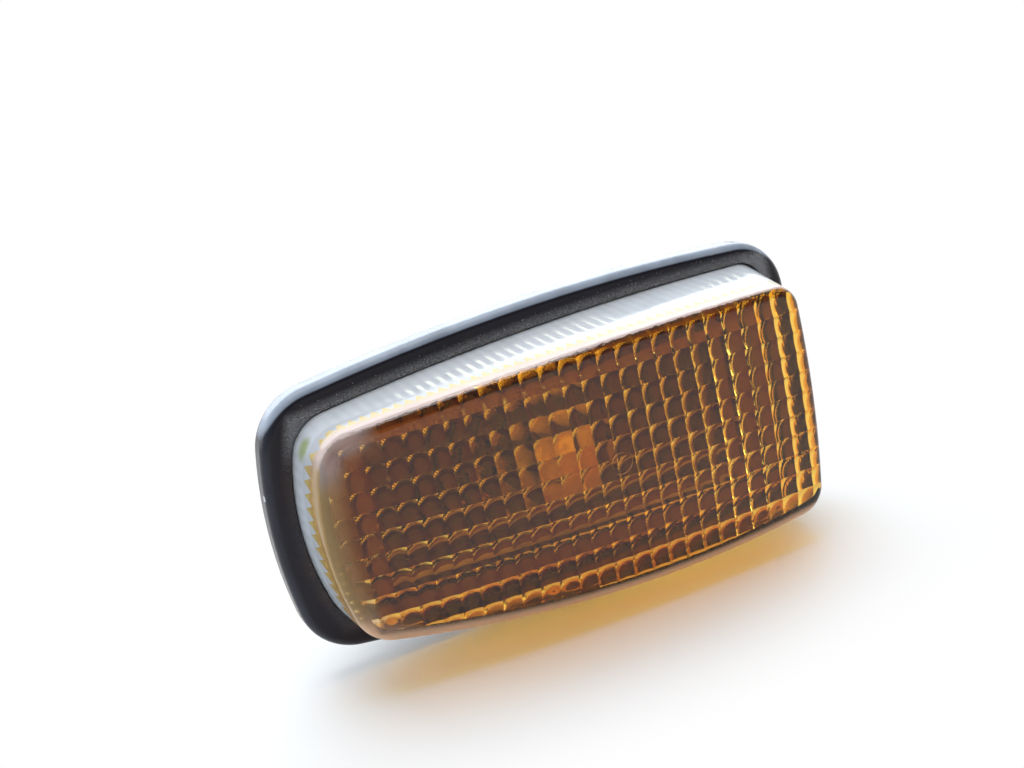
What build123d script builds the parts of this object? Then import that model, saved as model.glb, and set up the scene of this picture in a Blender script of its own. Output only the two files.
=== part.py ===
from build123d import *
import math
import os

# Side repeater lamp for a car wing: amber lens on a black base, with its bulb and holder.
# Millimetres. Everything is drawn with z pointing out of the panel, x along the lamp and y up,
# and is turned at the end so that the lens looks along -Y and up is +Z.
# The origin is on the skin of the panel, behind the gasket, under the middle of the lamp.

# Flange of the base: corners before rounding, then the bow of each side and the radius of each
# corner, going round from the bottom and from the bottom left
FLANGE_TL = (-33.9, 16.8)
FLANGE_TR = (37.9, 18.15)
FLANGE_BR = (37.9, -18.1)
FLANGE_BL = (-34.1, -15.2)
FLANGE_BOWS = (2.7, 1.1, 2.33, 2.2)
FLANGE_CORNERS = (7.7, 7.7, 7.7, 7.7)
FLANGE_BACK = 1.2
FLANGE_FRONT = 4.2
FLANGE_RIM = 1.3

# Foot of the lens, drawn the same way
ROOT_TL = (-30.6, 13.9)
ROOT_TR = (35.0, 15.95)
ROOT_BR = (35.0, -15.2)
ROOT_BL = (-30.2, -12.3)
ROOT_BOWS = (2.75, 0.5, 1.45, 2.5)
ROOT_CORNERS = (5.5, 4.4, 4.0, 5.5)
ROOT_Z = 2.8
WALL = 1.9
END_WALL = 1.2
DRAFT = 3.0
END_DRAFT = 14.5
GROOVE_GAP = 0.1

# Face of the lens: it leans a few degrees along the lamp and is crowned both ways
FACE_Z = 16.06
FACE_LEAN = 4.0
FACE_OUT = 1.5
CROWN_LONG = 255.0
CROWN_ACROSS = 125.0
FACE_EDGE = 1.4

# Pillow optics inside the face and flutes inside the walls
PITCH_X = 2.45
PITCH_Y = 2.60
FIRST_X = 0.91
COLUMNS_LEFT = 14
COLUMNS_RIGHT = 13
ROWS = 11
PILLOW_SAG = 0.40
PILLOW_TOP = -0.3
FLATS = 3
FLUTE_PITCH = 1.225
FLUTE_OUT = 0.45
FLUTE_IN = 0.05
FLUTE_END = 1.9
FLUTE_START = 0.4

# Ring left on the face where the mould was filled
GATE_X = 3.4
GATE_Y = 1.2
GATE_R = 1.5
GATE_GROOVE = 0.35
GATE_DEEP = 0.12

# Tub of the base behind the flange
TUB_L = 52.0
TUB_H = 22.4
TUB_R = 4.0
TUB_WALL = 1.8
TUB_BACK = -9.0
TUB_FLOOR = -7.0

# Collar that takes the bulb holder
COLLAR_R = 10.8
COLLAR_BORE = 8.3
COLLAR_BACK = -12.0
NOTCH_W = 4.2
NOTCH_R = 9.5

# Hook and latch that hold the lamp in the panel
PANEL = 1.0
HOOK_W = 12.0
HOOK_OUT = 3.4
HOOK_DEEP = 3.2
HOOK_TIP = 1.2
ARM_W = 10.0
ARM_T = 1.5
ARM_GAP = 2.0
ARM_FOOT = 1.8
ARM_TIP = 0.4
BARB_OUT = 1.7
BARB_DEEP = 3.4
BARB_TIP = 0.6

# Gasket between flange and panel
GASKET_IN = 0.5
GASKET_W = 4.0

# Bulb holder
PLUG_R = 8.1
PLUG_FRONT = -5.4
RIM_R = 10.6
RIM_FRONT = -12.8
RIM_BACK = -14.6
LUG_W = 3.8
LUG_R = 9.2
LUG_T = 1.3
SLOT_L = 10.2
SLOT_FLOOR = -13.2
SHROUD_L = 16.0
SHROUD_H = 10.5
SHROUD_WALL = 1.4
SHROUD_R = 1.6
SHROUD_BACK = -26.0
SHROUD_FLOOR = -16.2
SEAL_R = 10.2

# Terminals
STRIP_W = 4.0
STRIP_T = 0.6
STRIP_TOP = -7.2
BLADE_W = 2.8
BLADE_END = -24.8
BLADE_CHAMFER = 0.2

# Bulb
FOOT_L = 9.6
FOOT_T = 2.4
FOOT_R = 0.5
FOOT_END = -12.8
FOOT_TOP = -4.6
NECK_TOP = -1.2
GLASS_R = 4.8
GLASS_TOP = 12.9
GLASS_WALL = 0.7
GLASS_FLOOR = 0.8
LEAD_X = 2.6
LEAD_R = 0.2
LEAD_FOLD = 4.2
COIL_R = 0.22
COIL_Z = 6.2
COIL_OVER = 0.4

# How far pieces of one moulding run into each other before they are joined
JOIN = 0.5


def meet(c0, r0, c1, r1, near):
    """Where two circles cross, on the side of a given point."""
    gap = c1 - c0
    d = gap.length
    along = (d * d + r0 * r0 - r1 * r1) / (2 * d)
    up = math.sqrt(r0 * r0 - along * along)
    unit = gap * (1 / d)
    foot = c0 + unit * along
    across = Vector(-unit.Y, unit.X) * up
    if (foot + across - near).length < (foot - across - near).length:
        return foot + across
    return foot - across


def bowed(corners, bows, radii, grow=0.0, slide=0.0):
    """Four-sided outline with bowed sides and rounded corners, moved outward by grow.
    Its right side is moved inward by slide as well."""
    points = [Vector(*c) for c in corners]
    circles = []
    for k in range(4):
        a = points[k]
        b = points[(k + 1) % 4]
        outward = Vector((b - a).Y, -(b - a).X).normalized()
        r = ((b - a).length ** 2 / 4 + bows[k] ** 2) / (2 * bows[k])
        centre = (a + b) * 0.5 - outward * (r - bows[k])
        if k == 1:
            centre = centre - Vector(slide, 0)
        circles.append((centre, r + grow, outward))
    turned = []
    for k in range(4):
        c0, r0, _ = circles[k - 1]
        c1, r1, _ = circles[k]
        turned.append(meet(c0, r0, c1, r1, points[k]))
    edges = []
    for k in range(4):
        centre, r, outward = circles[k]
        edges.append(Edge.make_three_point_arc(turned[k], centre + outward * r, turned[(k + 1) % 4]))
    face = Face(Wire(edges))
    for k in range(4):
        sharp = [v for v in face.vertices() if (v.center() - turned[k]).length < 0.001]
        face = face.fillet_2d(radii[k] + grow, sharp)
    return face


def flange_outline(grow=0.0):
    """Outline of the flange, moved outward by grow."""
    return bowed((FLANGE_BL, FLANGE_BR, FLANGE_TR, FLANGE_TL), FLANGE_BOWS, FLANGE_CORNERS, grow)


def root_outline(grow=0.0, slide=0.0):
    """Outline of the foot of the lens, moved outward by grow, its right side inward by slide."""
    return bowed((ROOT_BL, ROOT_BR, ROOT_TR, ROOT_TL), ROOT_BOWS, ROOT_CORNERS, grow, slide)


def rounded(length, width, radius):
    """Rectangle with rounded corners."""
    plain = Rectangle(length, width).face()
    return plain.fillet_2d(radius, plain.vertices())


def block(x0, x1, y0, y1, z0, z1):
    """Box between two corners."""
    size = Box(x1 - x0, y1 - y0, z1 - z0, align=(Align.MIN, Align.MIN, Align.MIN))
    return Pos(x0, y0, z0) * size


def rod(r, z0, z1):
    """Round bar along z."""
    bar = Cylinder(r, z1 - z0, align=(Align.CENTER, Align.CENTER, Align.MIN))
    return Pos(0, 0, z0) * bar


def prism(face, z0, z1):
    """Flat outline carried straight from z0 to z1."""
    return Pos(0, 0, z0) * extrude(face, amount=z1 - z0, dir=(0, 0, 1))


face_place = Pos(0, 0, FACE_Z) * Rot(0, -FACE_LEAN, 0)

# Outlines of the flange and of the foot of the lens
flange_face = flange_outline()
root_face = root_outline()

# Lens, outside: drafted walls, the right end leaning in more, under a crowned face, edge rounded
LOFT_TOP = 24.0
rise = LOFT_TOP - ROOT_Z
draft = rise * math.tan(math.radians(DRAFT))
end_slope = math.tan(math.radians(END_DRAFT))
top_face = root_outline(-draft, rise * end_slope - draft)
walls = loft([Pos(0, 0, ROOT_Z) * root_face, Pos(0, 0, LOFT_TOP) * top_face], ruled=True)

# The crown is a slice of a big ring: an arc across the lamp, swept along it
half = 24.0
drop = CROWN_ACROSS - math.sqrt(CROWN_ACROSS**2 - half**2)
arc = ThreePointArc((0, -half, FACE_OUT - drop), (0, 0, FACE_OUT), (0, half, FACE_OUT - drop))
skirt = Polyline((0, half, FACE_OUT - drop), (0, half, -30), (0, -half, -30), (0, -half, FACE_OUT - drop))
slice_face = Face(Wire([arc.edge()] + skirt.edges()))
sweep_angle = 24.0
spin = Axis((0, 0, FACE_OUT - CROWN_LONG), (0, 1, 0))
crown = revolve(slice_face.rotate(spin, -sweep_angle / 2), spin, sweep_angle)
lens_body = walls & (face_place * crown)
rim_edges = lens_body.edges().filter_by(lambda e: e.center().Z > 9.0)
rim_edges = rim_edges.filter_by(lambda e: abs(e.tangent_at(0.5).Z) < 0.5)
lens_body = fillet(rim_edges, FACE_EDGE)

# Lens, inside: every pillow is a small bulge towards the bulb, cut as flats that share their edges
xs = [FIRST_X + PITCH_X * (k - COLUMNS_LEFT) for k in range(COLUMNS_LEFT + COLUMNS_RIGHT + 1)]
ys = [PITCH_Y * (k - ROWS / 2) for k in range(ROWS + 1)]


def bulges(lines, radius):
    """Places and heights of the edges between flats, one way, on a crown of the given radius."""
    edges = []
    for a, b in zip(lines, lines[1:]):
        for k in range(FLATS):
            t = k / FLATS
            place = a + (b - a) * t
            edges.append((place, -place**2 / (2 * radius) - 4 * PILLOW_SAG * t * (1 - t)))
    edges.append((lines[-1], -lines[-1] ** 2 / (2 * radius)))
    return edges


along = bulges(xs, CROWN_LONG)
across = bulges(ys, CROWN_ACROSS)


def spot(i, j):
    """Corner of a flat: the bulges of its column and of its row add up."""
    return (along[i][0], across[j][0], PILLOW_TOP + along[i][1] + across[j][1])


def below(i, j):
    """The same corner at the bottom of the pillow block."""
    return (along[i][0], across[j][0], -LOFT_TOP)


flats = []
last_i = len(along) - 1
last_j = len(across) - 1
for i in range(last_i):
    for j in range(last_j):
        corners = [spot(i, j), spot(i + 1, j), spot(i + 1, j + 1), spot(i, j + 1)]
        flats.append(Face(Wire.make_polygon(corners)))
for j in (0, last_j):
    top = [spot(i, j) for i in range(last_i + 1)]
    flats.append(Face(Wire.make_polygon(top + [below(last_i, j), below(0, j)])))
for i in (0, last_i):
    top = [spot(i, j) for j in range(last_j + 1)]
    flats.append(Face(Wire.make_polygon(top + [below(i, last_j), below(i, 0)])))
under = [below(0, 0), below(last_i, 0), below(last_i, last_j), below(0, last_j)]
flats.append(Face(Wire.make_polygon(under)))
pillows = Solid(Shell(flats))
if pillows.volume < 0:
    pillows = Solid(Shell([-f for f in flats]))

# Room inside the walls: the right end wall is thinner than the others, and the foot has no flutes
thinner = END_WALL - WALL
room_low = Pos(0, 0, ROOT_Z - 1) * root_outline(-WALL, thinner - end_slope)
room_high = Pos(0, 0, LOFT_TOP) * root_outline(-WALL, thinner + rise * end_slope)
room = loft([room_low, room_high], ruled=True)
foot_room = room & block(-60, 60, -60, 60, ROOT_Z - 2, FLANGE_FRONT + FLUTE_START)
room = room & (face_place * pillows)

# Flutes: a zigzag that follows the inside of the walls and stops short of the pillows
path = root_outline(-WALL, thinner + (FACE_Z - ROOT_Z) * end_slope).outer_wire()
count = 2 * round(path.length / FLUTE_PITCH)
zigzag = []
for k in range(count):
    point = path.position_at(k / count)
    run = path.tangent_at(k / count)
    out = Vector(run.Y, -run.X)
    if out.dot(point) < 0:
        out = out * -1
    zigzag.append(point + out * (FLUTE_OUT if k % 2 else -FLUTE_IN))
flutes = prism(Face(Wire.make_polygon(zigzag)), FLANGE_FRONT + FLUTE_START, LOFT_TOP)
stop = face_place * block(-60, 60, -60, 60, -60, PILLOW_TOP - FLUTE_END)
room = room + (flutes & stop) + foot_room
lens = lens_body - room
gate = rod(GATE_R, -5, 5) - rod(GATE_R - GATE_GROOVE, -6, 6)
gate_base = FACE_OUT - GATE_X**2 / (2 * CROWN_LONG) - GATE_Y**2 / (2 * CROWN_ACROSS)
gate = Pos(GATE_X, GATE_Y, gate_base + 5 - GATE_DEEP) * gate
lens = lens - face_place * gate

# Base: flange, tub and collar in one moulding
flange = prism(flange_face, FLANGE_BACK, FLANGE_FRONT)
flange = fillet(flange.faces().sort_by(Axis.Z)[-1].edges(), FLANGE_RIM)
tub_face = rounded(TUB_L, TUB_H, TUB_R)
hollow_face = rounded(TUB_L - 2 * TUB_WALL, TUB_H - 2 * TUB_WALL, TUB_R - TUB_WALL)
base = flange + prism(tub_face, TUB_BACK, FLANGE_BACK + 1)
base = base + rod(COLLAR_R, COLLAR_BACK, TUB_FLOOR - 1)
base = base - prism(hollow_face, TUB_FLOOR, FLANGE_FRONT + 1)
groove = prism(root_outline(GROOVE_GAP), ROOT_Z, FLANGE_FRONT + 1)
island = root_outline(-WALL - GROOVE_GAP, thinner + (FLANGE_FRONT - ROOT_Z) * end_slope)
groove = groove - prism(island, ROOT_Z - 1, FLANGE_FRONT + 2)
base = base - groove
base = base - rod(COLLAR_BORE, COLLAR_BACK - 1, TUB_FLOOR + 1)
notch = block(-NOTCH_R, NOTCH_R, -NOTCH_W / 2, NOTCH_W / 2, COLLAR_BACK - 1, TUB_FLOOR + 1)
base = base - notch

# Fixed hook at the left end: a nose that slips behind the edge of the panel
end = TUB_L / 2
nose = Polyline(
    (-end + JOIN, -PANEL),
    (-end - HOOK_OUT, -PANEL),
    (-end - HOOK_OUT, -PANEL - HOOK_TIP),
    (-end, -PANEL - HOOK_DEEP - HOOK_TIP),
    (-end + JOIN, -PANEL - HOOK_DEEP - HOOK_TIP),
    close=True,
)
nose_face = make_face(nose.edges())
hook = Pos(0, HOOK_W / 2, 0) * extrude(Plane.XZ * nose_face, amount=HOOK_W)
base = base + hook

# Sprung latch at the right end: an arm joined at the back, with a barb behind the panel
inner = end + ARM_GAP
outer = inner + ARM_T
latch = Polyline(
    (end - JOIN, TUB_BACK),
    (outer, TUB_BACK),
    (outer, -PANEL - BARB_DEEP),
    (outer + BARB_OUT, -PANEL - BARB_TIP),
    (outer + BARB_OUT, -PANEL),
    (outer, -PANEL),
    (outer, ARM_TIP),
    (inner, ARM_TIP),
    (inner, TUB_BACK + ARM_FOOT),
    (end - JOIN, TUB_BACK + ARM_FOOT),
    close=True,
)
latch_face = make_face(latch.edges())
arm = Pos(0, ARM_W / 2, 0) * extrude(Plane.XZ * latch_face, amount=ARM_W)
base = base + arm

# Gasket: a flat ring under the flange, set in a little from its edge
gasket = prism(flange_outline(-GASKET_IN), 0, FLANGE_BACK)
gasket = gasket - prism(flange_outline(-GASKET_IN - GASKET_W), -1, FLANGE_BACK + 1)

# Bulb, outside: flat foot, pinched neck, tube and dome
foot_round = rounded(FOOT_L, FOOT_T, FOOT_R)
glass = prism(foot_round, FOOT_END, FOOT_TOP)
pinch = Polyline(
    (-FOOT_T / 2, FOOT_TOP),
    (FOOT_T / 2, FOOT_TOP),
    (GLASS_R, NECK_TOP),
    (-GLASS_R, NECK_TOP),
    close=True,
)
wedge = Pos(-GLASS_R, 0, 0) * extrude(Plane.YZ * make_face(pinch.edges()), amount=2 * GLASS_R)
neck = wedge & rod(GLASS_R, FOOT_TOP, NECK_TOP)
tube = rod(GLASS_R, NECK_TOP, GLASS_TOP - GLASS_R)
dome = Pos(0, 0, GLASS_TOP - GLASS_R) * Sphere(GLASS_R)
glass = glass + neck + tube + dome
bore = GLASS_R - GLASS_WALL
core = rod(bore, NECK_TOP + GLASS_FLOOR, GLASS_TOP - GLASS_R)
core = core + Pos(0, 0, GLASS_TOP - GLASS_R) * Sphere(bore)
glass = glass - core


# Lead wires and coil
def lead(sign):
    """Wire from the coil down through the foot and folded up against one side of it."""
    x = sign * LEAD_X
    y = sign * (FOOT_T / 2 + LEAD_R)
    low = FOOT_END - LEAD_R
    bend = Polyline((x, 0, COIL_Z - COIL_R), (x, 0, low), (x, y, low), (x, y, FOOT_END + LEAD_FOLD))
    end = Plane(origin=(x, 0, COIL_Z - COIL_R), z_dir=(0, 0, -1))
    return sweep(end * Circle(LEAD_R), path=bend, transition=Transition.RIGHT)


lead_live = lead(1)
lead_earth = lead(-1)
glass = glass - lead_live - lead_earth
coil = Pos(-LEAD_X - COIL_OVER, 0, COIL_Z) * Rot(0, 90, 0) * rod(COIL_R, 0, 2 * (LEAD_X + COIL_OVER))


# Terminals
def terminal(sign):
    """Brass strip: a contact beside the foot of the bulb, a blade in the shroud."""
    y0 = FOOT_T / 2 + 2 * LEAD_R
    strip = block(LEAD_X - STRIP_W / 2, LEAD_X + STRIP_W / 2, y0, y0 + STRIP_T, SLOT_FLOOR, STRIP_TOP)
    blade = block(LEAD_X - BLADE_W / 2, LEAD_X + BLADE_W / 2, y0, y0 + STRIP_T, BLADE_END, SLOT_FLOOR + 1)
    tip = blade.edges().sort_by(Axis.Z)[:4]
    blade = chamfer(tip.filter_by(Axis.X), BLADE_CHAMFER)
    both = strip + blade
    return both if sign > 0 else Rot(0, 0, 180) * both


terminal_live = terminal(1)
terminal_earth = terminal(-1)

# Bulb holder
holder = rod(PLUG_R, RIM_BACK, PLUG_FRONT)
holder = holder + rod(RIM_R, RIM_BACK, RIM_FRONT)
lug = block(-LUG_R, LUG_R, -LUG_W / 2, LUG_W / 2, TUB_FLOOR, TUB_FLOOR + LUG_T)
lug = lug & rod(LUG_R, TUB_FLOOR - 1, TUB_FLOOR + LUG_T + 1)
holder = holder + Rot(0, 0, 90) * lug
shroud_face = rounded(SHROUD_L, SHROUD_H, SHROUD_R)
mouth_face = rounded(SHROUD_L - 2 * SHROUD_WALL, SHROUD_H - 2 * SHROUD_WALL, SHROUD_R / 3)
holder = holder + prism(shroud_face, SHROUD_BACK, RIM_BACK + JOIN)
holder = holder - prism(mouth_face, SHROUD_BACK - 1, SHROUD_FLOOR)
slot_half = FOOT_T / 2 + 2 * LEAD_R
holder = holder - block(-SLOT_L / 2, SLOT_L / 2, -slot_half, slot_half, SLOT_FLOOR, PLUG_FRONT + 1)
holder = holder - terminal_live - terminal_earth
pocket_low = LEAD_X - STRIP_W / 2
pocket_high = LEAD_X + STRIP_W / 2
pocket = block(pocket_low, pocket_high, 0, slot_half + STRIP_T, STRIP_TOP, PLUG_FRONT + 1)
holder = holder - pocket - Rot(0, 0, 180) * pocket

# Seal between the collar and the rim of the holder
seal = rod(SEAL_R, RIM_FRONT, COLLAR_BACK) - rod(PLUG_R, RIM_FRONT - 1, COLLAR_BACK + 1)

nodes = {
    "lens": lens,
    "base_housing": base,
    "panel_gasket": gasket,
    "bulb_holder": holder,
    "holder_seal": seal,
    "terminal_live": terminal_live,
    "terminal_earth": terminal_earth,
    "bulb_glass": glass,
    "bulb_filament": coil,
    "bulb_lead_live": lead_live,
    "bulb_lead_earth": lead_earth,
}

os.makedirs("parts", exist_ok=True)
for name, shape in nodes.items():
    placed = Rot(90, 0, 0) * shape
    solids = placed.solids()
    print(name, len(solids), [round(s.volume, 2) for s in solids], placed.bounding_box().size)
    export_step(Compound(solids) if len(solids) > 1 else solids[0], f"parts/{name}.step")
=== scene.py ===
# %% [markdown]
# A side repeater lamp: an amber moulded lens on a black base that clips into a car's wing.
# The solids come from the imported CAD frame. This lesson gives them their finishes, makes the
# optics of the lens smooth, adds the dust and wear, and sets the light and the camera.

# %% Load the frame
import math
import random

import bmesh
import bpy
from mathutils import Euler, Matrix, Vector
from mathutils.geometry import delaunay_2d_cdt


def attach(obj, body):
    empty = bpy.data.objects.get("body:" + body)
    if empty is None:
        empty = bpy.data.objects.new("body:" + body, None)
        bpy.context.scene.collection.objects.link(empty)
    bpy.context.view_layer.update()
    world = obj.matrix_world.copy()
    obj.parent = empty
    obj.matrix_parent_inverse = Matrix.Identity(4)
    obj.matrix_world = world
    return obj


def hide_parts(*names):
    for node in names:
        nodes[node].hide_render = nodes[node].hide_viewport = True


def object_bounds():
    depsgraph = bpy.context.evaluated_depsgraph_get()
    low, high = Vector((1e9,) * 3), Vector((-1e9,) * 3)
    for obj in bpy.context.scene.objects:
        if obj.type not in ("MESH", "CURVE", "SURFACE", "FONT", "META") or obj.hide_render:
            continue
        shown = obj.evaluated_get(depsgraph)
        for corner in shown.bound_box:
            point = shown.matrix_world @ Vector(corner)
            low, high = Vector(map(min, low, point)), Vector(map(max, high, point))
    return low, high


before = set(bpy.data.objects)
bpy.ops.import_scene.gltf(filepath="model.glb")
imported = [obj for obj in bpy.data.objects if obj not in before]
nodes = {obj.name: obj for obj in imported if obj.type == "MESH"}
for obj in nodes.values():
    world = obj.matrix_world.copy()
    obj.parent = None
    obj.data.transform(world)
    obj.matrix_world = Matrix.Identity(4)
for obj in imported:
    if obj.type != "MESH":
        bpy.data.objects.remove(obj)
cad_low, cad_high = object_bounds()
MM = 0.001
print("pieces of the frame:", ", ".join(sorted(nodes)))

# %% [markdown]
# The photograph was taken from the left and a little above, close up, with the camera rolled.
# Its place and turn were worked out from the corners of the pillow grid, so they are written as
# a matrix: the columns are the camera's right, up and backward directions.

# %% Camera
RIGHT = Vector((0.88704, -0.42145, -0.18853))
UP = Vector((0.29430, 0.20150, 0.93423))
BACK = Vector((-0.35575, -0.88418, 0.30277))
EYE = Vector((-64.235, -156.458, 62.322)) * MM
FOCAL_LENGTH = 49.0

camera = bpy.data.objects.new("camera", bpy.data.cameras.new("camera"))
bpy.context.scene.collection.objects.link(camera)
turn = Matrix((RIGHT, UP, BACK)).transposed().to_4x4()
camera.matrix_world = Matrix.Translation(EYE) @ turn
camera.data.sensor_width = 36.0
camera.data.lens = FOCAL_LENGTH
camera.data.clip_start = 0.005
camera.data.clip_end = 20.0
bpy.context.scene.camera = camera
print("camera at", [round(v / MM, 1) for v in EYE], "mm")

# %% [markdown]
# The lens face leans four degrees, so its optics are easiest to describe in a frame of its own.
# These two helpers go between the lamp and that frame: x along the lamp, y up, z out of the face.

# %% Frame of the lens face
LEAN = math.radians(4.0)
FACE_Z = 16.06


def to_face(p):
    """A point of the lamp, in metres, as millimetres in the frame of the face."""
    x, y, z = p.x / MM, p.z / MM, -p.y / MM - FACE_Z
    along = math.cos(LEAN) * x + math.sin(LEAN) * z
    out = -math.sin(LEAN) * x + math.cos(LEAN) * z
    return Vector((along, y, out))


def from_face(q):
    """The way back."""
    x = math.cos(LEAN) * q.x - math.sin(LEAN) * q.z
    z = math.sin(LEAN) * q.x + math.cos(LEAN) * q.z + FACE_Z
    return Vector((x, -z, q.y)) * MM


print("a point on the face comes back as", from_face(to_face(Vector((0.01, -0.015, 0.005)))))

# %% [markdown]
# The visible lens takes its outside from the CAD lens, facet by facet, and gets a finer inside. The
# outside is found by walking from the foremost facet over every edge that isn't at the foot. What
# faces the front is the clear face, the rest of it is wall.

# %% Outside of the lens
PILLOW, FACE, WALL, FLUTE = range(4)
FACE_TURN = -0.55
ROOT_Z = 2.8

shape = bmesh.new()
shape.from_mesh(nodes["lens"].data)
bmesh.ops.remove_doubles(shape, verts=shape.verts, dist=2e-6)
foremost = min(shape.faces, key=lambda f: f.calc_center_median().y)
skin = {foremost}
waiting = [foremost]
while waiting:
    for e in waiting.pop().edges:
        if all(-v.co.y < (ROOT_Z + 0.05) * MM for v in e.verts):
            continue
        for f in e.link_faces:
            if f not in skin:
                skin.add(f)
                waiting.append(f)
bmesh.ops.delete(shape, geom=[f for f in shape.faces if f not in skin], context="FACES")
for f in shape.faces:
    f.material_index = FACE if f.normal.y < FACE_TURN else WALL
foot_edges = [e for e in shape.edges if len(e.link_faces) == 1]
print("outside:", len(shape.faces), "facets, foot of", len(foot_edges), "edges")

# %% [markdown]
# The inside follows the foot. Its outline is walked at even steps, two to a flute, and every step
# keeps its outward direction. A point of the inside is then a step, a distance in from the outside
# and a height; the walls draw in as they rise, the right one most.

# %% Outline of the foot
FLUTE_PITCH = 1.35
DRAFT = math.tan(math.radians(3.0))
END_SLIDE = math.tan(math.radians(14.5)) - DRAFT
END_FROM, END_TO = 8.0, 28.0


def in_order(edges):
    """The points of a closed run of edges, one after the other, across the panel in millimetres."""
    run = list(edges[0].verts)
    left = set(edges[1:])
    while left:
        step = next(e for e in left if run[-1] in e.verts)
        left.remove(step)
        run.append(step.other_vert(run[-1]))
    return [Vector((v.co.x, v.co.z)) / MM for v in run[:-1]]


def evenly(points, count):
    """The same closed run in even steps."""
    ends = points + points[:1]
    step = sum((b - a).length for a, b in zip(ends, ends[1:])) / count
    due = 0.0
    walked = []
    for a, b in zip(ends, ends[1:]):
        span = (b - a).length
        while due < span:
            walked.append(a.lerp(b, due / span))
            due += step
        due -= span
    return walked[:count]


foot = in_order(foot_edges)
length = sum((b - a).length for a, b in zip(foot, foot[1:] + foot[:1]))
STEPS = 2 * round(length / FLUTE_PITCH)
outline = evenly(foot, STEPS)
if sum(a.cross(b) for a, b in zip(outline, outline[1:] + outline[:1])) < 0:
    outline.reverse()
outward = []
for k in range(STEPS):
    run = outline[(k + 1) % STEPS] - outline[k - 1]
    outward.append(Vector((run.y, -run.x)).normalized())


def soft_step(v, start, end):
    """From nothing at start to one at end, softly."""
    t = min(max((v - start) / (end - start), 0.0), 1.0)
    return t * t * (3 - 2 * t)


def inside(k, inset, height):
    """A point so far in from the outside of the wall, at a height over the panel."""
    rise = height - ROOT_Z
    p = outline[k] - outward[k] * (inset + rise * DRAFT)
    x = p.x - rise * END_SLIDE * soft_step(p.x, END_FROM, END_TO)
    return Vector((x, -height, p.y)) * MM


print("foot of", round(length, 1), "mm,", STEPS // 2, "flutes")

# %% [markdown]
# Inside the face are 27 by 11 pillows, each a shallow bulge that spreads the light of the bulb. The
# inside wall is thin at the right, where the pillows run to the edge. It is smooth for a few
# millimetres under the face, and V-shaped flutes are cut into it from there down, so that every
# flute ends in a small triangle: seen through the plastic these ends are a row of teeth.

# %% Inside walls
PITCH = (2.45, 2.60)
FIRST = (0.91 - 14 * PITCH[0], -5.5 * PITCH[1])
COUNT = (27, 11)
CROWN = (255.0, 125.0)
SAG = 0.40
PILLOW_TOP = -0.3
FLUTE_TOP = -3.2
FLUTE_FOOT = 4.4
WALL_ABOVE, WALL_BELOW, WALL_RIGHT, WALL_LEFT = 1.2, 1.3, 0.45, 1.7
FLUTE_SHARE = 0.55
FOOT_THICK = 0.4


def crown(q):
    """Height of the crown over a point of the face frame."""
    return -q.x * q.x / (2 * CROWN[0]) - q.y * q.y / (2 * CROWN[1])


def pillows(q):
    """Height of the inside of the face."""
    height = PILLOW_TOP + crown(q)
    for v, first, pitch in zip(q.xy, FIRST, PITCH):
        t = (v - first) / pitch % 1.0
        height -= 4 * SAG * t * (1 - t)
    return height


def flute_tops(q):
    """Height at which the flutes end."""
    return FLUTE_TOP + crown(q)


def up_to(surface, k, inset):
    """The point of the inside wall that lies on a surface of the face frame."""
    height = 12.0
    for _ in range(5):
        p = inside(k, inset, height)
        q = to_face(p)
        height += surface(q) - q.z
    return p


insets = []
for n in outward:
    end_wall = WALL_RIGHT if n.x > 0 else WALL_LEFT
    level_wall = WALL_ABOVE if n.y > 0 else WALL_BELOW
    insets.append(n.x * n.x * end_wall + n.y * n.y * level_wall)
grooves = [t * (1 - FLUTE_SHARE * (k % 2)) for k, t in enumerate(insets)]
print("walls from", round(min(insets), 2), "to", round(max(insets), 2), "mm thick")

# %% [markdown]
# The inside is five rings of points, from the pillows down to the foot. Faces join each ring to the
# next; a bridge closes the last one to the outside. Extruding would give the same rings, but each
# ring here lies on a surface of its own, so its points are placed one by one.

# %% Flutes
ceiling = [shape.verts.new(up_to(pillows, k, insets[k])) for k in range(STEPS)]
smooth_end = [shape.verts.new(up_to(flute_tops, k, insets[k])) for k in range(STEPS)]
fluted = []
for k in range(STEPS):
    fluted.append(shape.verts.new(up_to(flute_tops, k, grooves[k])) if k % 2 else smooth_end[k])
fluted_foot = [shape.verts.new(inside(k, grooves[k], FLUTE_FOOT)) for k in range(STEPS)]
foot_in = [shape.verts.new(inside(k, FOOT_THICK, ROOT_Z)) for k in range(STEPS)]

walls = []
for k in range(STEPS):
    n = (k + 1) % STEPS
    walls.append(shape.faces.new((ceiling[k], ceiling[n], smooth_end[n], smooth_end[k])))
    if k % 2:
        walls.append(shape.faces.new((smooth_end[k], smooth_end[n], fluted[k])))
    else:
        walls.append(shape.faces.new((smooth_end[k], smooth_end[n], fluted[n])))
    walls.append(shape.faces.new((fluted[k], fluted[n], fluted_foot[n], fluted_foot[k])))
    walls.append(shape.faces.new((fluted_foot[k], fluted_foot[n], foot_in[n], foot_in[k])))
open_edges = [e for e in shape.edges if len(e.link_faces) == 1]
foot_ring = [e for e in open_edges if all(-v.co.y < (ROOT_Z + 0.2) * MM for v in e.verts)]
walls += bmesh.ops.bridge_loops(shape, edges=foot_ring)["faces"]
for f in walls:
    f.material_index = FLUTE
print("inside walls:", len(walls), "faces")

# %% [markdown]
# The pillows fill the outline that the walls leave. A lattice of six steps to a pillow is joined
# to that outline by a triangulation, and every point is lifted onto the bulge. Edges that turn
# sharply are kept sharp: the creases between pillows and the ridges of the flutes.

# %% Pillows
LATTICE = 6
RIM_GAP = 0.15
SHARP = math.radians(24)

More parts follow.
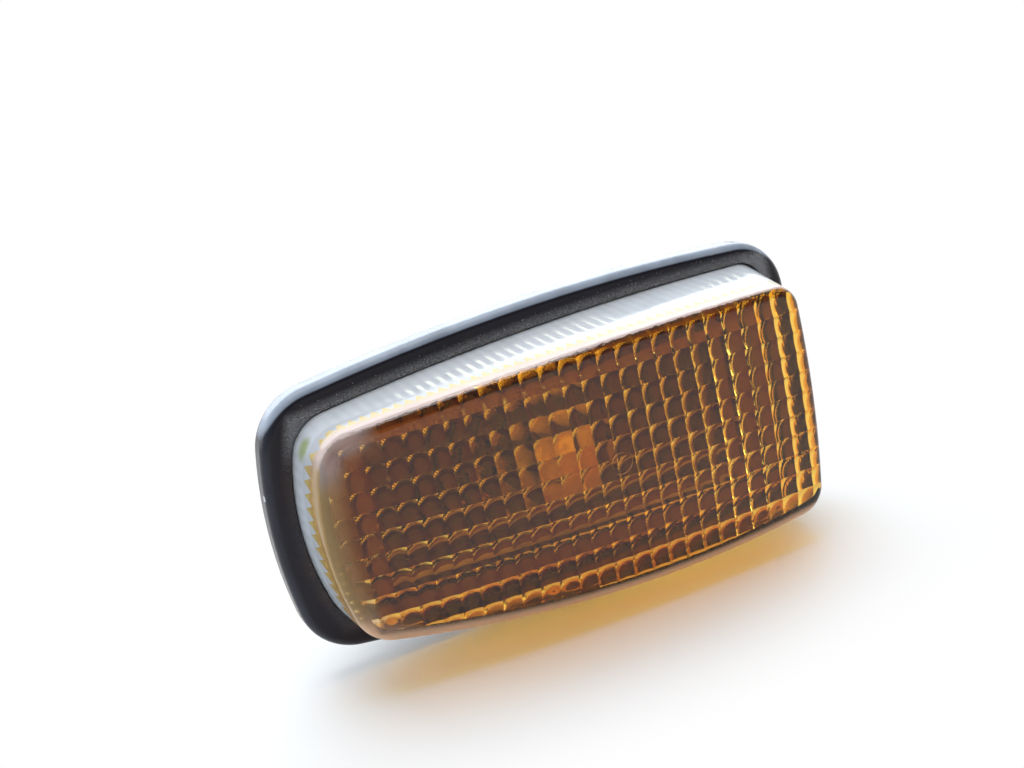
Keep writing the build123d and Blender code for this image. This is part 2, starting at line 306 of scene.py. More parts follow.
loop = [to_face(v.co).xy for v in ceiling]
flat = list(loop)
for i in range(COUNT[0] * LATTICE + 1):
    for j in range(-LATTICE // 2, COUNT[1] * LATTICE + LATTICE // 2 + 1):
        at = Vector((FIRST[0] + i * PITCH[0] / LATTICE, FIRST[1] + j * PITCH[1] / LATTICE))
        if min((at - p).length for p in loop) > RIM_GAP:
            flat.append(at)
cells = delaunay_2d_cdt(flat, [], [list(range(STEPS))], 1, 1e-5)
points = []
for at, sources in zip(cells[0], cells[3]):
    on_loop = [s for s in sources if s < STEPS]
    if on_loop:
        points.append(ceiling[on_loop[0]])
        continue
    q = Vector((at.x, at.y, 0.0))
    q.z = pillows(q)
    points.append(shape.verts.new(from_face(q)))
for corners in cells[2]:
    made = shape.faces.new([points[c] for c in reversed(corners)])
    made.material_index = PILLOW
bmesh.ops.recalc_face_normals(shape, faces=shape.faces)
for f in shape.faces:
    f.smooth = True
for e in shape.edges:
    e.smooth = len(e.link_faces) == 2 and e.calc_face_angle(0.0) < SHARP
print("pillows:", len(cells[2]), "faces;", sum(e.is_boundary for e in shape.edges), "open edges")


def finished(name, built):
    """An object of a finished mesh, riding on the lamp."""
    mesh = bpy.data.meshes.new(name)
    built.to_mesh(mesh)
    built.free()
    piece = bpy.data.objects.new(name, mesh)
    bpy.context.scene.collection.objects.link(piece)
    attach(piece, "root")
    return piece


amber_lens = finished("amber_lens", shape)
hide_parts("lens")
print("amber lens:", len(amber_lens.data.polygons), "faces")

# %% [markdown]
# Every finish below is a small net of nodes. These helpers keep the nets short: one adds a node,
# sets its menus and fills its inputs, and the others are the few steps that every finish uses.
# All patterns read Object coordinates, which are metres in the lamp's own frame, so a scale of
# 1000 makes features about a millimetre across.

# %% Node helpers


def node(tree, kind, inputs=None, **menus):
    """Add a node. An input given a socket is linked, any other value is set."""
    made = tree.nodes.new("ShaderNode" + kind)
    for name, value in menus.items():
        setattr(made, name, value)
    for name, value in (inputs or {}).items():
        if isinstance(value, bpy.types.NodeSocket):
            tree.links.new(value, made.inputs[name])
        else:
            made.inputs[name].default_value = value
    return made


def calc(tree, operation, a, b=0.0, clamp=False):
    """One step of arithmetic."""
    return node(tree, "Math", {0: a, 1: b}, operation=operation, use_clamp=clamp).outputs[0]


def fade(tree, value, start, end, low=0.0, high=1.0):
    """A soft step from low at start to high at end."""
    sockets = {0: value, 1: start, 2: end, 3: low, 4: high}
    return node(tree, "MapRange", sockets, interpolation_type="SMOOTHSTEP").outputs[0]


def blend(tree, share, a, b):
    """Two colours mixed."""
    made = node(tree, "Mix", {0: share, 6: a, 7: b}, data_type="RGBA")
    return made.outputs[2]


def place(tree, stretch=(1, 1, 1)):
    """Object coordinates, stretched."""
    coords = node(tree, "TexCoord").outputs["Object"]
    if stretch == (1, 1, 1):
        return coords
    return node(tree, "Mapping", {"Vector": coords, "Scale": stretch}).outputs[0]


def grain(tree, scale, detail=3.0, stretch=(1, 1, 1)):
    """Cloudy noise around a half."""
    sockets = {"Vector": place(tree, stretch), "Scale": scale, "Detail": detail}
    return node(tree, "TexNoise", sockets).outputs[0]


def distance(tree, a, b):
    """How far apart two places are."""
    return node(tree, "VectorMath", {0: a, 1: b}, operation="DISTANCE").outputs["Value"]


def bump(tree, height, depth, strength=0.5):
    """A bumpy normal, depth in millimetres."""
    sockets = {"Height": height, "Distance": depth * MM, "Strength": strength}
    return node(tree, "Bump", sockets).outputs[0]


def finish(name, **inputs):
    """A new material and its Principled shader, with plain values set on its own sockets."""
    material = bpy.data.materials.new(name)
    material.use_nodes = True
    shader = material.node_tree.nodes["Principled BSDF"]
    for socket, value in inputs.items():
        shader.inputs[socket.replace("_", " ")].default_value = value
    return material, material.node_tree, shader


def let_lamps_through(tree, shader, tint):
    straight = node(tree, "BsdfTransparent", {"Color": (*tint, 1)})
    path = node(tree, "LightPath").outputs["Is Shadow Ray"]
    mixed = node(tree, "MixShader", {0: path, 1: shader.outputs[0], 2: straight.outputs[0]})
    tree.links.new(mixed.outputs[0], tree.nodes["Material Output"].inputs["Surface"])


print("helpers ready")

# %% [markdown]
# The foot of the lens is a four-sided outline with bowed sides. Its four arcs give a distance from
# the lens at any point of the flange, which is where the dust has gathered.

# %% Arcs of the foot of the lens
ROOT = [Vector((-30.2, -12.3)), Vector((35.0, -15.2)), Vector((35.0, 15.95)), Vector((-30.6, 13.9))]
ROOT_BOWS = (2.75, 0.5, 1.45, 2.5)


def side_arc(k):
    """Centre and radius of one bowed side, in millimetres across the panel."""
    a = ROOT[k]
    b = ROOT[(k + 1) % 4]
    outward = Vector(((b - a).y, -(b - a).x)).normalized()
    radius = ((b - a).length ** 2 / 4 + ROOT_BOWS[k] ** 2) / (2 * ROOT_BOWS[k])
    return (a + b) / 2 - outward * (radius - ROOT_BOWS[k]), radius


ROOT_ARCS = [side_arc(k) for k in range(4)]


def from_lens(tree):
    """Distance from the foot of the lens, in millimetres, as nodes."""
    flat = {0: place(tree), 1: (1 / MM, 0, 1 / MM)}
    flat = node(tree, "VectorMath", flat, operation="MULTIPLY").outputs[0]
    far = None
    for centre, radius in ROOT_ARCS:
        gap = distance(tree, flat, (centre.x, 0, centre.y))
        gap = calc(tree, "SUBTRACT", gap, radius)
        far = gap if far is None else calc(tree, "MAXIMUM", far, gap)
    return far


print("radii of the sides:", [round(r) for _, r in ROOT_ARCS])

# %% [markdown]
# The amber is coloured right through. The face is clear and glossy, with fine scratches, so its
# roughness and its bump come from noise drawn out into streaks. At the left and along its lower edge
# a warm matte colour takes the place of some clear plastic: partly haze, partly painted reflection
# of the light on the rounded edges, pink towards the top, salmon at the bottom and tan at the left.
# The pillows behind it were never touched, and are smoother.

# %% Amber of the face and of the pillows
AMBER = (0.97, 0.42, 0.018)
AMBER_DEEP = (0.93, 0.34, 0.012)
LAMP_AMBER = (0.97, 0.78, 0.13)
# Colours of a warm haze with painted highlight and reflection of the light on the rounded edges.
HIGHLIGHT_ABOVE = (0.88, 0.70, 0.66)
HAZE_AND_REFLECTION_LEFT = (0.74, 0.45, 0.15)
REFLECTION_BELOW = (0.98, 0.60, 0.38)
EDGE_HAZE_AND_REFLECTION = 0.70
SIDE_HAZE_AND_REFLECTION = 0.45
ACRYLIC = 1.49
POLISH = 0.015


def haze_and_highlight_colour(tree, above, below):
    """Pink painted highlight above, salmon painted reflection below, tan haze and reflection
    elsewhere.
    """
    colour = blend(tree, above, (*HAZE_AND_REFLECTION_LEFT, 1), (*HIGHLIGHT_ABOVE, 1))
    return blend(tree, below, colour, (*REFLECTION_BELOW, 1))


def face_haze_and_reflection(tree):
    """Share and colour of the haze and painted reflection: wide at the left, a strip along the lower
    edge.
    """
    lamp = node(tree, "SeparateXYZ", {0: place(tree)})
    above = fade(tree, lamp.outputs[2], 7 * MM, 11 * MM)
    below = fade(tree, lamp.outputs[2], -6 * MM, -10 * MM)
    left = fade(tree, lamp.outputs[0], -22 * MM, -28 * MM)
    far = from_lens(tree)
    wide = calc(tree, "MULTIPLY", left, fade(tree, far, -4.6, -0.8, 0.0, SIDE_HAZE_AND_REFLECTION))
    strip = calc(tree, "MULTIPLY", below, fade(tree, far, -2.5, -1.5, 0.0, EDGE_HAZE_AND_REFLECTION))
    return calc(tree, "MAXIMUM", wide, strip), haze_and_highlight_colour(tree, above, below)


def amber(name, scratched, hazed_and_highlit):
    """Clear amber acrylic, scratched more or less, with or without haze and painted reflection."""
    made, tree, shader = finish(name, Transmission_Weight=1.0, IOR=ACRYLIC)
    cloud = grain(tree, 180.0)
    colour = blend(tree, fade(tree, cloud, 0.35, 0.65), (*AMBER, 1), (*AMBER_DEEP, 1))
    if hazed_and_highlit:
        # Painted reflection of the light on the rounded edges, with some haze, in place of clear
        # plastic.
        share, haze_and_painted_light = face_haze_and_reflection(tree)
        colour = blend(tree, fade(tree, share, 0.0, 0.3), colour, haze_and_painted_light)
        clear = calc(tree, "SUBTRACT", 1.0, share)
        tree.links.new(clear, shader.inputs["Transmission Weight"])
    tree.links.new(colour, shader.inputs["Base Color"])
    streaks = grain(tree, 900.0, 4.0, (0.25, 1.0, 1.0))
    worn = fade(tree, streaks, 0.56, 0.72)
    rough = calc(tree, "MULTIPLY", worn, 0.10 * scratched)
    tree.links.new(calc(tree, "ADD", rough, POLISH), shader.inputs["Roughness"])
    tree.links.new(bump(tree, streaks, 0.01 * scratched, 0.15), shader.inputs["Normal"])
    let_lamps_through(tree, shader, LAMP_AMBER)
    return made


amber_pillows = amber("amber_pillows", 0.2, False)
amber_face = amber("amber_face", 1.0, True)
print("amber:", amber_pillows.name, amber_face.name)

# %% [markdown]
# Three measures help to paint the walls: how far a point lies under the crown of the face, a saw of
# even teeth along one axis, and how much a surface faces up, left and down.

# %% Measures on the walls
FACE_OUT = 1.5


def under_face(tree):
    """Depth below the crown of the face, in millimetres, as nodes."""
    lamp = node(tree, "SeparateXYZ", {0: place(tree)})
    x, y, z = lamp.outputs[0], lamp.outputs[1], lamp.outputs[2]
    depth = calc(tree, "MULTIPLY", y, math.cos(LEAN) / MM)
    depth = calc(tree, "ADD", depth, calc(tree, "MULTIPLY", x, math.sin(LEAN) / MM))
    depth = calc(tree, "ADD", depth, FACE_Z * math.cos(LEAN) + FACE_OUT)
    for axis, radius in ((x, CROWN[0]), (z, CROWN[1])):
        squared = calc(tree, "MULTIPLY", axis, axis)
        drop = calc(tree, "MULTIPLY", squared, -0.5 / (radius * MM * MM))
        depth = calc(tree, "ADD", depth, drop)
    return depth


def teeth(tree, axis, pitch):
    """A saw of even teeth along one axis, from nothing to one."""
    along = node(tree, "SeparateXYZ", {0: place(tree)}).outputs[axis]
    half = pitch * MM / 2
    return calc(tree, "DIVIDE", calc(tree, "PINGPONG", along, half), half)


def sides(tree):
    """How much a surface faces up, left and down."""
    facing = node(tree, "SeparateXYZ", {0: node(tree, "TexCoord").outputs["Normal"]})
    above = fade(tree, facing.outputs[2], 0.1, 0.6)
    left = fade(tree, facing.outputs[0], -0.1, -0.6)
    below = fade(tree, facing.outputs[2], -0.12, -0.40)
    return above, left, below


print("measures ready")

# %% [markdown]
# The walls look pale in the photograph, because light from behind glares on them and a bloom dulls
# them. The bloom is a share of pale blue matte colour in place of clear plastic, full on the walls
# that face up and left: partly bloom, partly painted glare. Its edge is a row of teeth, as the ends
# of the flutes look through the plastic. They are painted, at their own pitch on the top and at the
# left end, because the bloom hides the true ends; painted yellow light lies beside them and painted
# shade along the flutes. Between the teeth and the face the plastic is clearer, and only a warm
# colour lies on it: partly haze, partly painted highlight and reflection on the rounded edge. Bloom
# and haze are dirt on the outside, and the light and shade painted into them falls on the outside
# too, so they are left out for light that comes from within.

# %% Outside of the walls
BLOOM_AND_GLARE = 0.85
HAZE_AND_HIGHLIGHT = 0.75
LEFT_HAZE_AND_HIGHLIGHT = 0.8
THIN_BLOOM_AND_GLARE = 0.15
BLOOM_AND_GLARE_COLOUR = (0.84, 0.89, 0.96)
RIB_SHADE_COLOUR = (0.52, 0.54, 0.60)
RIB_SHADE = 0.20
TOOTH_SHADE = 0.55
LIT_TOOTH_COLOUR = (0.92, 0.72, 0.28)
WALL_TINT = (0.95, 0.84, 0.35)
LAMP_WALL = (0.97, 0.82, 0.16)
TOOTH_AT = (5.2, 5.5)
TOOTH_RISE = 1.3
TOOTH = 1.6
END_PITCH = 1.65
END_TOOTH = 1.4
GREEN_FRINGE = (0.36, 0.46, 0.07)
GREEN_FRINGE_AT = Vector((-30.9, -7.0, 11.8)) * MM
GREEN_FRINGE_SIZE = 2.0 * MM
GREEN_FRINGE_SHARE = 0.7


def bloom_and_glare_edge(tree, above, left):
    """The saw of teeth, and the depth under the face that it is set against."""
    depth = calc(tree, "ADD", under_face(tree), calc(tree, "MULTIPLY", above, TOOTH_RISE))
    saw = calc(tree, "MULTIPLY", above, teeth(tree, 0, FLUTE_PITCH))
    end_saw = calc(tree, "MULTIPLY", left, teeth(tree, 2, END_PITCH))
    saw = calc(tree, "MAXIMUM", saw, calc(tree, "MULTIPLY", end_saw, END_TOOTH))
    return depth, saw


def matte_share(tree, low, cloud, above, left, below):
    """How much of the plastic is hidden by bloom with painted glare, and by haze with painted
    highlight.
    """
    # Painted glare with some bloom: full on the walls that face up and left, thin elsewhere.
    pale = calc(tree, "MAXIMUM", above, left)
    bloom_and_glare = calc(tree, "MULTIPLY", calc(tree, "MAXIMUM", pale, THIN_BLOOM_AND_GLARE), BLOOM_AND_GLARE)
    # Painted highlight and reflection with some haze, between the teeth and the face.
    hazed_and_highlit = calc(tree, "MAXIMUM", above, calc(tree, "MULTIPLY", left, LEFT_HAZE_AND_HIGHLIGHT))
    haze_and_highlight_share = calc(tree, "MULTIPLY", calc(tree, "MAXIMUM", hazed_and_highlit, below), HAZE_AND_HIGHLIGHT)
    share = node(tree, "Mix", {0: low, 2: haze_and_highlight_share, 3: bloom_and_glare}).outputs[0]
    share = calc(tree, "MULTIPLY", share, fade(tree, cloud, 0.2, 0.6, 0.88, 1.0))
    within = node(tree, "NewGeometry").outputs["Backfacing"]
    return calc(tree, "MULTIPLY", share, calc(tree, "SUBTRACT", 1.0, within))


def wall_outside():
    """Pale bloom and painted glare low on the walls, teeth with painted light and shade, warm haze
    and highlight.
    """
    made, tree, shader = finish("glare_and_bloom_wall", IOR=ACRYLIC, Specular_IOR_Level=0.25)
    cloud = grain(tree, 260.0)
    above, left, below = sides(tree)
    depth, saw = bloom_and_glare_edge(tree, above, left)
    low = fade(tree, calc(tree, "ADD", depth, calc(tree, "MULTIPLY", saw, TOOTH)), *TOOTH_AT)
    share = matte_share(tree, low, cloud, above, left, below)

    # Near the face the haze colours are painted highlight and reflection.
    haze_and_painted_light = haze_and_highlight_colour(tree, above, below)
    # Painted light: yellow next to the teeth, as light comes through the ends of the flutes.
    haze_and_painted_light = blend(tree, fade(tree, depth, 4.4, 2.8), (*LIT_TOOTH_COLOUR, 1), haze_and_painted_light)
    # Painted glare: pale blue matte colour low on the walls.
    colour = blend(tree, low, haze_and_painted_light, (*BLOOM_AND_GLARE_COLOUR, 1))
    # Painted shade: grey lines at the flutes' pitch and a grey band next to the teeth.
    rib_shade = calc(tree, "MULTIPLY", saw, RIB_SHADE)
    rib_shade = calc(tree, "MAXIMUM", rib_shade, fade(tree, depth, 6.4, 5.2, 0.0, TOOTH_SHADE))
    colour = blend(tree, calc(tree, "MULTIPLY", rib_shade, low), colour, (*RIB_SHADE_COLOUR, 1))
    # Painted light: a green fringe near the upper left corner, as the plastic splits the light into
    # colours.
    apart = distance(tree, place(tree), GREEN_FRINGE_AT)
    ragged = calc(tree, "ADD", apart, calc(tree, "MULTIPLY", cloud, GREEN_FRINGE_SIZE))
    green_fringe = fade(tree, ragged, GREEN_FRINGE_SIZE * 1.5, GREEN_FRINGE_SIZE * 0.7)
    colour = blend(tree, calc(tree, "MULTIPLY", green_fringe, GREEN_FRINGE_SHARE), colour, (*GREEN_FRINGE, 1))
    colour = blend(tree, fade(tree, share, 0.0, 0.3), (*WALL_TINT, 1), colour)
    tree.links.new(colour, shader.inputs["Base Color"])
    tree.links.new(calc(tree, "SUBTRACT", 1.0, share), shader.inputs["Transmission Weight"])

    streaks = grain(tree, 1400.0, 3.0)
    tree.links.new(fade(tree, streaks, 0.3, 0.8, 0.05, 0.16), shader.inputs["Roughness"])
    tree.links.new(bump(tree, streaks, 0.008, 0.2), shader.inputs["Normal"])
    let_lamps_through(tree, shader, LAMP_WALL)
    return made


glare_and_bloom_wall = wall_outside()
print("outside of the walls:", glare_and_bloom_wall.name)

# %% [markdown]
# The inside of the walls is clean, and a little rough from the mould. The four finishes go on the
# lens in the order in which its faces were numbered.

# %% Inside of the walls


def wall_inside():
    """Fluted walls, seen through the plastic."""
    made, tree, shader = finish("fluted_wall", IOR=ACRYLIC, Transmission_Weight=1.0)
    cloud = grain(tree, 400.0)
    colour = blend(tree, cloud, (0.97, 0.80, 0.42, 1), (0.95, 0.74, 0.34, 1))
    tree.links.new(colour, shader.inputs["Base Color"])
    tree.links.new(fade(tree, cloud, 0.3, 0.7, 0.06, 0.14), shader.inputs["Roughness"])
    tree.links.new(bump(tree, cloud, 0.01, 0.2), shader.inputs["Normal"])
    let_lamps_through(tree, shader, LAMP_WALL)
    return made


for made in (amber_pillows, amber_face, glare_and_bloom_wall, wall_inside()):
    amber_lens.data.materials.append(made)
print("lens finishes:", [m.name for m in amber_lens.data.materials])

# %% [markdown]
# The base is black plastic that has seen some years on a car. These helpers find its marks: the
# distance from a scratch and the edges, which have rubbed paler; and the inside of the tub, where a
# glow of amber light is painted. Edges are found by comparing the true normal with one that is
# rounded over the edge.

# %% Marks on the base
TUB_LONG = (24.7 * MM, 24.3 * MM)
TUB_HIGH = (9.9 * MM, 9.5 * MM)
TUB_DEEP = (8.0 * MM, 7.4 * MM)


def from_line(tree, start, end):
    """Distance from a line across the panel between two points, as nodes."""
    along = end - start
    flat = place(tree, (1, 0, 1))
    offset = node(tree, "VectorMath", {0: flat, 1: start}, operation="SUBTRACT").outputs[0]
    share = {0: offset, 1: along / along.length_squared}
    share = node(tree, "VectorMath", share, operation="DOT_PRODUCT").outputs["Value"]
    share = calc(tree, "ADD", share, 0.0, clamp=True)
    nearest = node(tree, "VectorMath", {0: along, "Scale": share}, operation="SCALE").outputs[0]
    return distance(tree, offset, nearest)


def edges(tree, radius):
    """One along sharp edges, nothing on flats."""
    soft = node(tree, "Bevel", {"Radius": radius * MM}, samples=6).outputs[0]
    true = node(tree, "NewGeometry").outputs["Normal"]
    dot = node(tree, "VectorMath", {0: soft, 1: true}, operation="DOT_PRODUCT").outputs["Value"]
    return fade(tree, dot, 0.995, 0.90)


def within_tub(tree, lamp):
    """One on the inside of the tub behind the lens, nothing on its outside."""
    across = fade(tree, calc(tree, "ABSOLUTE", lamp.outputs[0]), *TUB_LONG)
    up = fade(tree, calc(tree, "ABSOLUTE", lamp.outputs[2]), *TUB_HIGH)
    back = fade(tree, lamp.outputs[1], *TUB_DEEP)
    return calc(tree, "MULTIPLY", calc(tree, "MULTIPLY", across, up), back)


print("marks ready")

# %% [markdown]
# The black plastic has a fine moulded grain. Grey dust lies along the foot of the lens, most of it
# on top, a pale blue highlight is painted on the top of the rim, and one small nick and one hair
# scratch show on it. Behind the lens the plastic is painted browner: a painted glow of the amber
# light that comes in through the lens.

# %% Base
BLACK = (0.014, 0.012, 0.020)
BLACK_PALE = (0.018, 0.016, 0.026)
BLACK_WORN = (0.030, 0.030, 0.036)
DUST = (0.46, 0.46, 0.48)
RUST_TINT = (0.050, 0.022, 0.016)
RIM_HIGHLIGHT = (0.62, 0.72, 0.88)
AMBER_GLOW_WITHIN = (0.13, 0.065, 0.05)
NICK_COLOUR = (0.62, 0.64, 0.68)
NICK = Vector((-36.0, -2.9, 5.9)) * MM
NICK_SIZE = 0.45 * MM
HAIR = (Vector((28.0, 0.0, 18.3)) * MM, Vector((30.2, 0.0, 19.4)) * MM)


def black_base():
    """Black plastic, dusty along the lens."""
    made, tree, shader = finish("black_plastic", IOR=1.5, Specular_IOR_Level=0.25)
    fine = grain(tree, 2600.0, 4.0)
    cloud = grain(tree, 220.0)
    specks = grain(tree, 9000.0, 2.0)
    worn = calc(tree, "MULTIPLY", edges(tree, 0.25), fade(tree, cloud, 0.35, 0.65))
    colour = blend(tree, cloud, (*BLACK, 1), (*BLACK_PALE, 1))
    colour = blend(tree, calc(tree, "MULTIPLY", worn, 0.7), colour, (*BLACK_WORN, 1))

    far = from_lens(tree)
    lamp = node(tree, "SeparateXYZ", {0: place(tree)})
    front = fade(tree, lamp.outputs[1], -2.0 * MM, -3.5 * MM)
    top = fade(tree, lamp.outputs[2], 8 * MM, 14 * MM, 0.10, 1.0)
    near = calc(tree, "MULTIPLY", front, fade(tree, far, 2.2, 0.1))
    rust = calc(tree, "MULTIPLY", near, fade(tree, cloud, 0.35, 0.65, 0.0, 0.6))
    colour = blend(tree, rust, colour, (*RUST_TINT, 1))
    # Painted amber glow of the light that comes in through the lens, on the plastic behind it.
    amber_glow = calc(tree, "MAXIMUM", front, within_tub(tree, lamp))
    amber_glow = calc(tree, "MULTIPLY", amber_glow, fade(tree, far, -1.8, -2.6))
    amber_glow = calc(tree, "MULTIPLY", amber_glow, fade(tree, cloud, 0.2, 0.6, 0.5, 0.9))
    colour = blend(tree, amber_glow, colour, (*AMBER_GLOW_WITHIN, 1))
    strip = calc(tree, "MULTIPLY", calc(tree, "MULTIPLY", front, top), fade(tree, far, 1.7, 0.2))
    gritty = calc(tree, "MULTIPLY", strip, fade(tree, specks, 0.40, 0.62, 0.22, 0.95))
    colour = blend(tree, gritty, colour, (*DUST, 1))
    ragged = calc(tree, "MULTIPLY", calc(tree, "SUBTRACT", fine, 0.5), NICK_SIZE)
    ragged = calc(tree, "ADD", ragged, distance(tree, place(tree), NICK))
    nick = fade(tree, ragged, NICK_SIZE, NICK_SIZE * 0.6)
    colour = blend(tree, nick, colour, (*NICK_COLOUR, 1))
    # Painted highlight: pale blue on the top of the rim in front, faintly on the left.
    above, left, _ = sides(tree)
    pale_layer = calc(tree, "MAXIMUM", fade(tree, above, 0.5, 1.0), calc(tree, "MULTIPLY", left, 0.06))
    pale_layer = calc(tree, "MULTIPLY", pale_layer, fade(tree, lamp.outputs[1], -0.9 * MM, -1.5 * MM))
    pale_layer = calc(tree, "MULTIPLY", pale_layer, fade(tree, cloud, 0.25, 0.6, 0.45, 0.65))
    colour = blend(tree, pale_layer, colour, (*RIM_HIGHLIGHT, 1))
    scratch = fade(tree, from_line(tree, *HAIR), 0.09 * MM, 0.04 * MM)
    colour = blend(tree, calc(tree, "MULTIPLY", scratch, 0.8), colour, (*DUST, 1))
    tree.links.new(colour, shader.inputs["Base Color"])

    rough = fade(tree, fine, 0.3, 0.7, 0.16, 0.26)
    rough = calc(tree, "ADD", rough, calc(tree, "MULTIPLY", gritty, 0.5))
    rough = calc(tree, "ADD", rough, calc(tree, "MULTIPLY", worn, 0.15), clamp=True)
    tree.links.new(rough, shader.inputs["Roughness"])
    height = calc(tree, "ADD", fine, calc(tree, "MULTIPLY", gritty, 1.5))
    height = calc(tree, "SUBTRACT", height, calc(tree, "MULTIPLY", nick, 4.0))
    tree.links.new(bump(tree, height, 0.02, 0.25), shader.inputs["Normal"])
    return made


def dress(name, material):
    """Put one finish on a piece of the frame."""
    nodes[name].data.materials.clear()
    nodes[name].data.materials.append(material)


dress("base_housing", black_base())
print("base dressed")

# %% [markdown]
# The other pieces hide behind the lens or the flange. Rubber is dull and cloudy, the holder is a
# grey plastic with a moulded grain, the terminals are brass with darker tarnish, and the wires
# and the coil are drawn metal.

# %% Rubber, holder and metals


def cloudy(name, light, dark, scale, rough, depth, metal=0.0):
    """A surface of two close colours with a matching change of roughness and bump."""
    made, tree, shader = finish(name, Metallic=metal)
    cloud = grain(tree, scale, 4.0)
    fine = grain(tree, scale * 9, 3.0)
    worn = calc(tree, "MULTIPLY", edges(tree, 0.15), 0.4)
    colour = blend(tree, fade(tree, cloud, 0.35, 0.65), (*dark, 1), (*light, 1))
    colour = blend(tree, worn, colour, tuple(min(1, 1.6 * c + 0.02) for c in light) + (1,))
    tree.links.new(colour, shader.inputs["Base Color"])
    uneven = fade(tree, fine, 0.3, 0.7, rough - 0.08, rough + 0.08)
    tree.links.new(uneven, shader.inputs["Roughness"])
    tree.links.new(bump(tree, fine, depth, 0.3), shader.inputs["Normal"])
    return made


gasket_rubber = cloudy("black_rubber", (0.020, 0.020, 0.021), (0.010, 0.010, 0.011), 300, 0.68, 0.03)
dress("panel_gasket", gasket_rubber)
seal_rubber = cloudy("seal_rubber", (0.030, 0.030, 0.030), (0.014, 0.014, 0.014), 400, 0.70, 0.03)
dress("holder_seal", seal_rubber)
holder = cloudy("holder_plastic", (0.060, 0.060, 0.064), (0.036, 0.036, 0.040), 250, 0.48, 0.02)
dress("bulb_holder", holder)
brass = cloudy("dull_brass", (0.74, 0.57, 0.28), (0.42, 0.30, 0.14), 500, 0.36, 0.01, 1.0)
dress("terminal_live", brass)
dress("terminal_earth", brass)
wire = cloudy("nickel_wire", (0.64, 0.61, 0.57), (0.40, 0.38, 0.36), 900, 0.34, 0.005, 1.0)
dress("bulb_lead_live", wire)
dress("bulb_lead_earth", wire)
coil = cloudy("tungsten", (0.40, 0.40, 0.41), (0.22, 0.22, 0.23), 2000, 0.42, 0.005, 1.0)
dress("bulb_filament", coil)
print("small pieces dressed")

# %% [markdown]
# The bulb is clear glass. A faint grey film from use lies on it: a fifth of the glass is matte, and
# its roughness comes in clouds. Drawn glass is also slightly wavy.

# %% Bulb glass


def clear_glass():
    """Clear glass with a faint film."""
    made, tree, shader = finish("bulb_glass", Transmission_Weight=0.8, IOR=1.5)
    pale_layer = grain(tree, 300.0)
    colour = blend(tree, pale_layer, (0.97, 0.98, 0.98, 1), (0.88, 0.91, 0.91, 1))
    tree.links.new(colour, shader.inputs["Base Color"])
    tree.links.new(fade(tree, pale_layer, 0.4, 0.7, 0.01, 0.07), shader.inputs["Roughness"])
    tree.links.new(bump(tree, grain(tree, 150.0), 0.05, 0.2), shader.inputs["Normal"])
    let_lamps_through(tree, shader, (0.95, 0.96, 0.96))
    return made


dress("bulb_glass", clear_glass())
print("bulb dressed")

# %% [markdown]
# Up close the dust along the top of the lens is grit: pale grains that lie in the corner between
# the lens and the flange. They could be painted, but grains catch the light, so about a thousand
# small lumps are scattered along the arc of the top side, closer together near the lens.

# %% Grit along the foot of the lens
GRAINS = 1100
GRIT_FROM = -29.5
GRIT_TO = 33.0
GRIT_GAP = 0.12
GRIT_WIDTH = 0.40
GRIT_REACH = 1.6
GRIT_SIZE = (0.03, 0.10)
FLANGE_FRONT = 4.2

scatter = random.Random(11)
grit = bmesh.new()
(top_x, top_y), top_radius = ROOT_ARCS[2]
for _ in range(GRAINS):
    along = scatter.uniform(GRIT_FROM, GRIT_TO)
    away = min(scatter.expovariate(1 / GRIT_WIDTH), GRIT_REACH)
    size = scatter.uniform(*GRIT_SIZE) * (1.25 - 0.4 * away)
    reach = top_radius + GRIT_GAP + away
    up = top_y + math.sqrt(reach**2 - (along - top_x) ** 2)
    where = Vector((along, -FLANGE_FRONT - 0.3 * size, up)) * MM
    tilt = Euler([scatter.uniform(0, math.pi) for _ in range(3)])
    squash = Vector((1.0, scatter.uniform(0.5, 0.9), scatter.uniform(0.6, 1.0))) * size * MM
    lump = Matrix.LocRotScale(where, tilt, squash)
    bmesh.ops.create_icosphere(grit, subdivisions=1, radius=1.0, matrix=lump)
grit_piece = finished("lens_foot_grit", grit)

made, tree, shader = finish("grit", Roughness=0.85)
tone = grain(tree, 4000.0, 2.0)
grey = blend(tree, fade(tree, tone, 0.3, 0.7), (0.16, 0.15, 0.15, 1), (0.66, 0.66, 0.67, 1))
tree.links.new(grey, shader.inputs["Base Color"])
tree.links.new(bump(tree, grain(tree, 9000.0), 0.01), shader.inputs["Normal"])
grit_piece.data.materials.append(made)
print("grit:", len(grit_piece.data.polygons), "faces")

# %% [markdown]
# The lamp stands on a white table in front of a bright window. The table is a pale sheet that
# keeps the lamp's shadow, and away from the lamp it runs out into white for the camera and for
# what mirrors or bends it, so that no horizon shows.

# %% Table
TABLE = 3.0
NEAR = 0.010
FAR = 0.034
LIFT = 0.05


def seen_straight(tree):
    """One for what the camera, a mirror or glass sees, nothing for light that spreads."""
    path = node(tree, "LightPath")
    seen = calc(tree, "MAXIMUM", path.outputs["Is Camera Ray"], path.outputs["Is Glossy Ray"])
    return calc(tree, "MAXIMUM", seen, path.outputs["Is Transmission Ray"])


sheet = bmesh.new()
bmesh.ops.create_grid(sheet, x_segments=1, y_segments=1, size=TABLE)
bmesh.ops.translate(sheet, verts=sheet.verts, vec=(0, 0, cad_low.z))
table_mesh = bpy.data.meshes.new("table")
sheet.to_mesh(table_mesh)
sheet.free()
table = bpy.data.objects.new("table", table_mesh)
bpy.context.scene.collection.objects.link(table)

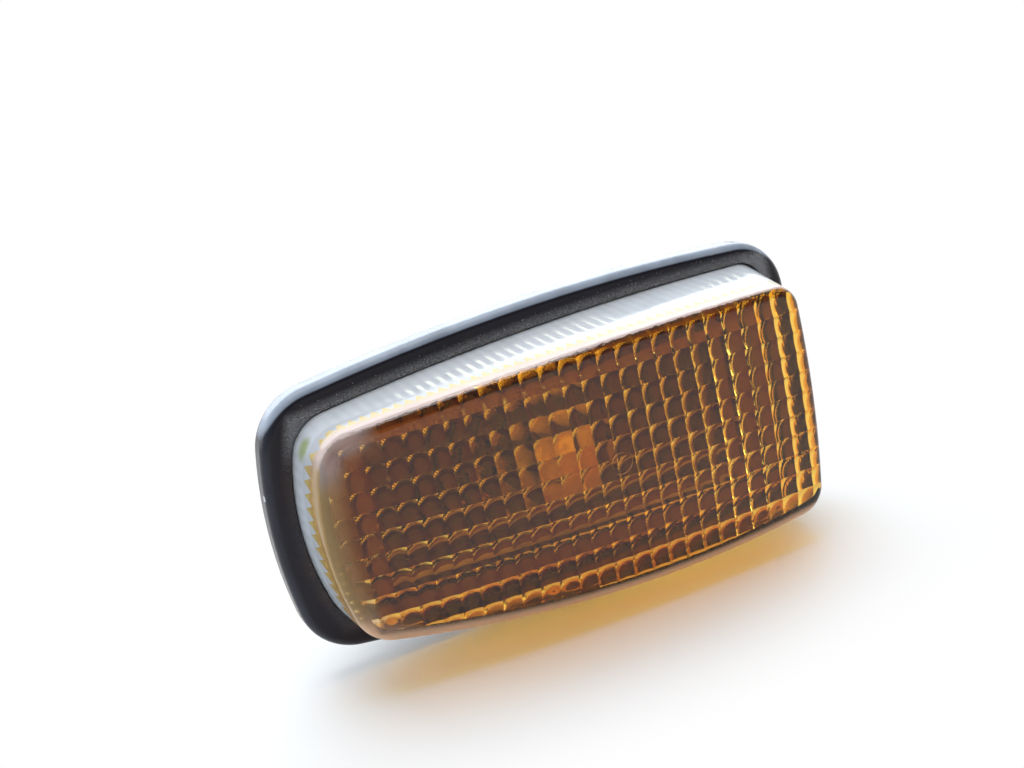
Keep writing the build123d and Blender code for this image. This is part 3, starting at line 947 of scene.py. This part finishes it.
made, tree, shader = finish("white_table", Base_Color=(0.89, 0.91, 0.94, 1), Roughness=0.7)
reach = distance(tree, place(tree, (0.45, 1, 0)), (0.0, -0.010, 0.0))
white_share = fade(tree, reach, NEAR, FAR, LIFT, 1.0)
white = node(tree, "Emission", {"Color": (1, 1, 1, 1), "Strength": 1.0})
share = calc(tree, "MULTIPLY", white_share, seen_straight(tree))
mixed = node(tree, "MixShader", {0: share, 1: shader.outputs[0], 2: white.outputs[0]})
tree.links.new(mixed.outputs[0], tree.nodes["Material Output"].inputs["Surface"])
table.data.materials.append(made)
print("table at", round(cad_low.z / MM, 1), "mm")

# %% [markdown]
# Most of the light comes from behind, as in the photograph: a wide window, a smaller one at the
# left and a soft ceiling. The room gives the rest. It is dimmer in front of the lamp, and plain
# white for the camera and for what is seen through the plastic.

# %% Window, ceiling and room


def soft_box(name, centre, size, brightness, colour=(1, 1, 1)):
    """A large even lamp that faces the lens."""
    lamp = bpy.data.lights.new(name, "AREA")
    lamp.color = colour
    lamp.shape = "RECTANGLE"
    lamp.size = size[0]
    lamp.size_y = size[1]
    lamp.energy = brightness * math.pi * size[0] * size[1]
    made = bpy.data.objects.new(name, lamp)
    bpy.context.scene.collection.objects.link(made)
    made.location = centre
    made.rotation_euler = (-Vector(centre)).to_track_quat("-Z", "Y").to_euler()
    return made


SKY = (0.88, 0.95, 1.0)
soft_box("window", (0.12, 0.55, 0.36), (0.95, 0.55), 2.6, SKY)
soft_box("ceiling", (0.0, 0.05, 0.75), (0.55, 0.55), 3.7)
soft_box("left_window", (-0.55, 0.30, 0.22), (0.45, 0.40), 1.8, SKY)

ROOM = 0.45
DIM = 0.25
world = bpy.data.worlds.new("room")
bpy.context.scene.world = world
world.use_nodes = True
tree = world.node_tree
ways = node(tree, "SeparateXYZ", {0: node(tree, "TexCoord").outputs["Generated"]})
behind = fade(tree, ways.outputs[1], -0.5, 0.2, DIM, 1.0)
path = node(tree, "LightPath")
seen = calc(tree, "MAXIMUM", path.outputs["Is Camera Ray"], path.outputs["Is Transmission Ray"])
seen = calc(tree, "MAXIMUM", seen, calc(tree, "MULTIPLY", path.outputs["Is Glossy Ray"], behind))
strength = calc(tree, "MAXIMUM", seen, calc(tree, "MULTIPLY", behind, ROOM))
spread = path.outputs["Is Diffuse Ray"]
background = tree.nodes["Background"]
tree.links.new(blend(tree, spread, (1, 1, 1, 1), (*SKY, 1)), background.inputs["Color"])
tree.links.new(strength, background.inputs["Strength"])
bpy.context.scene.view_settings.view_transform = "Standard"
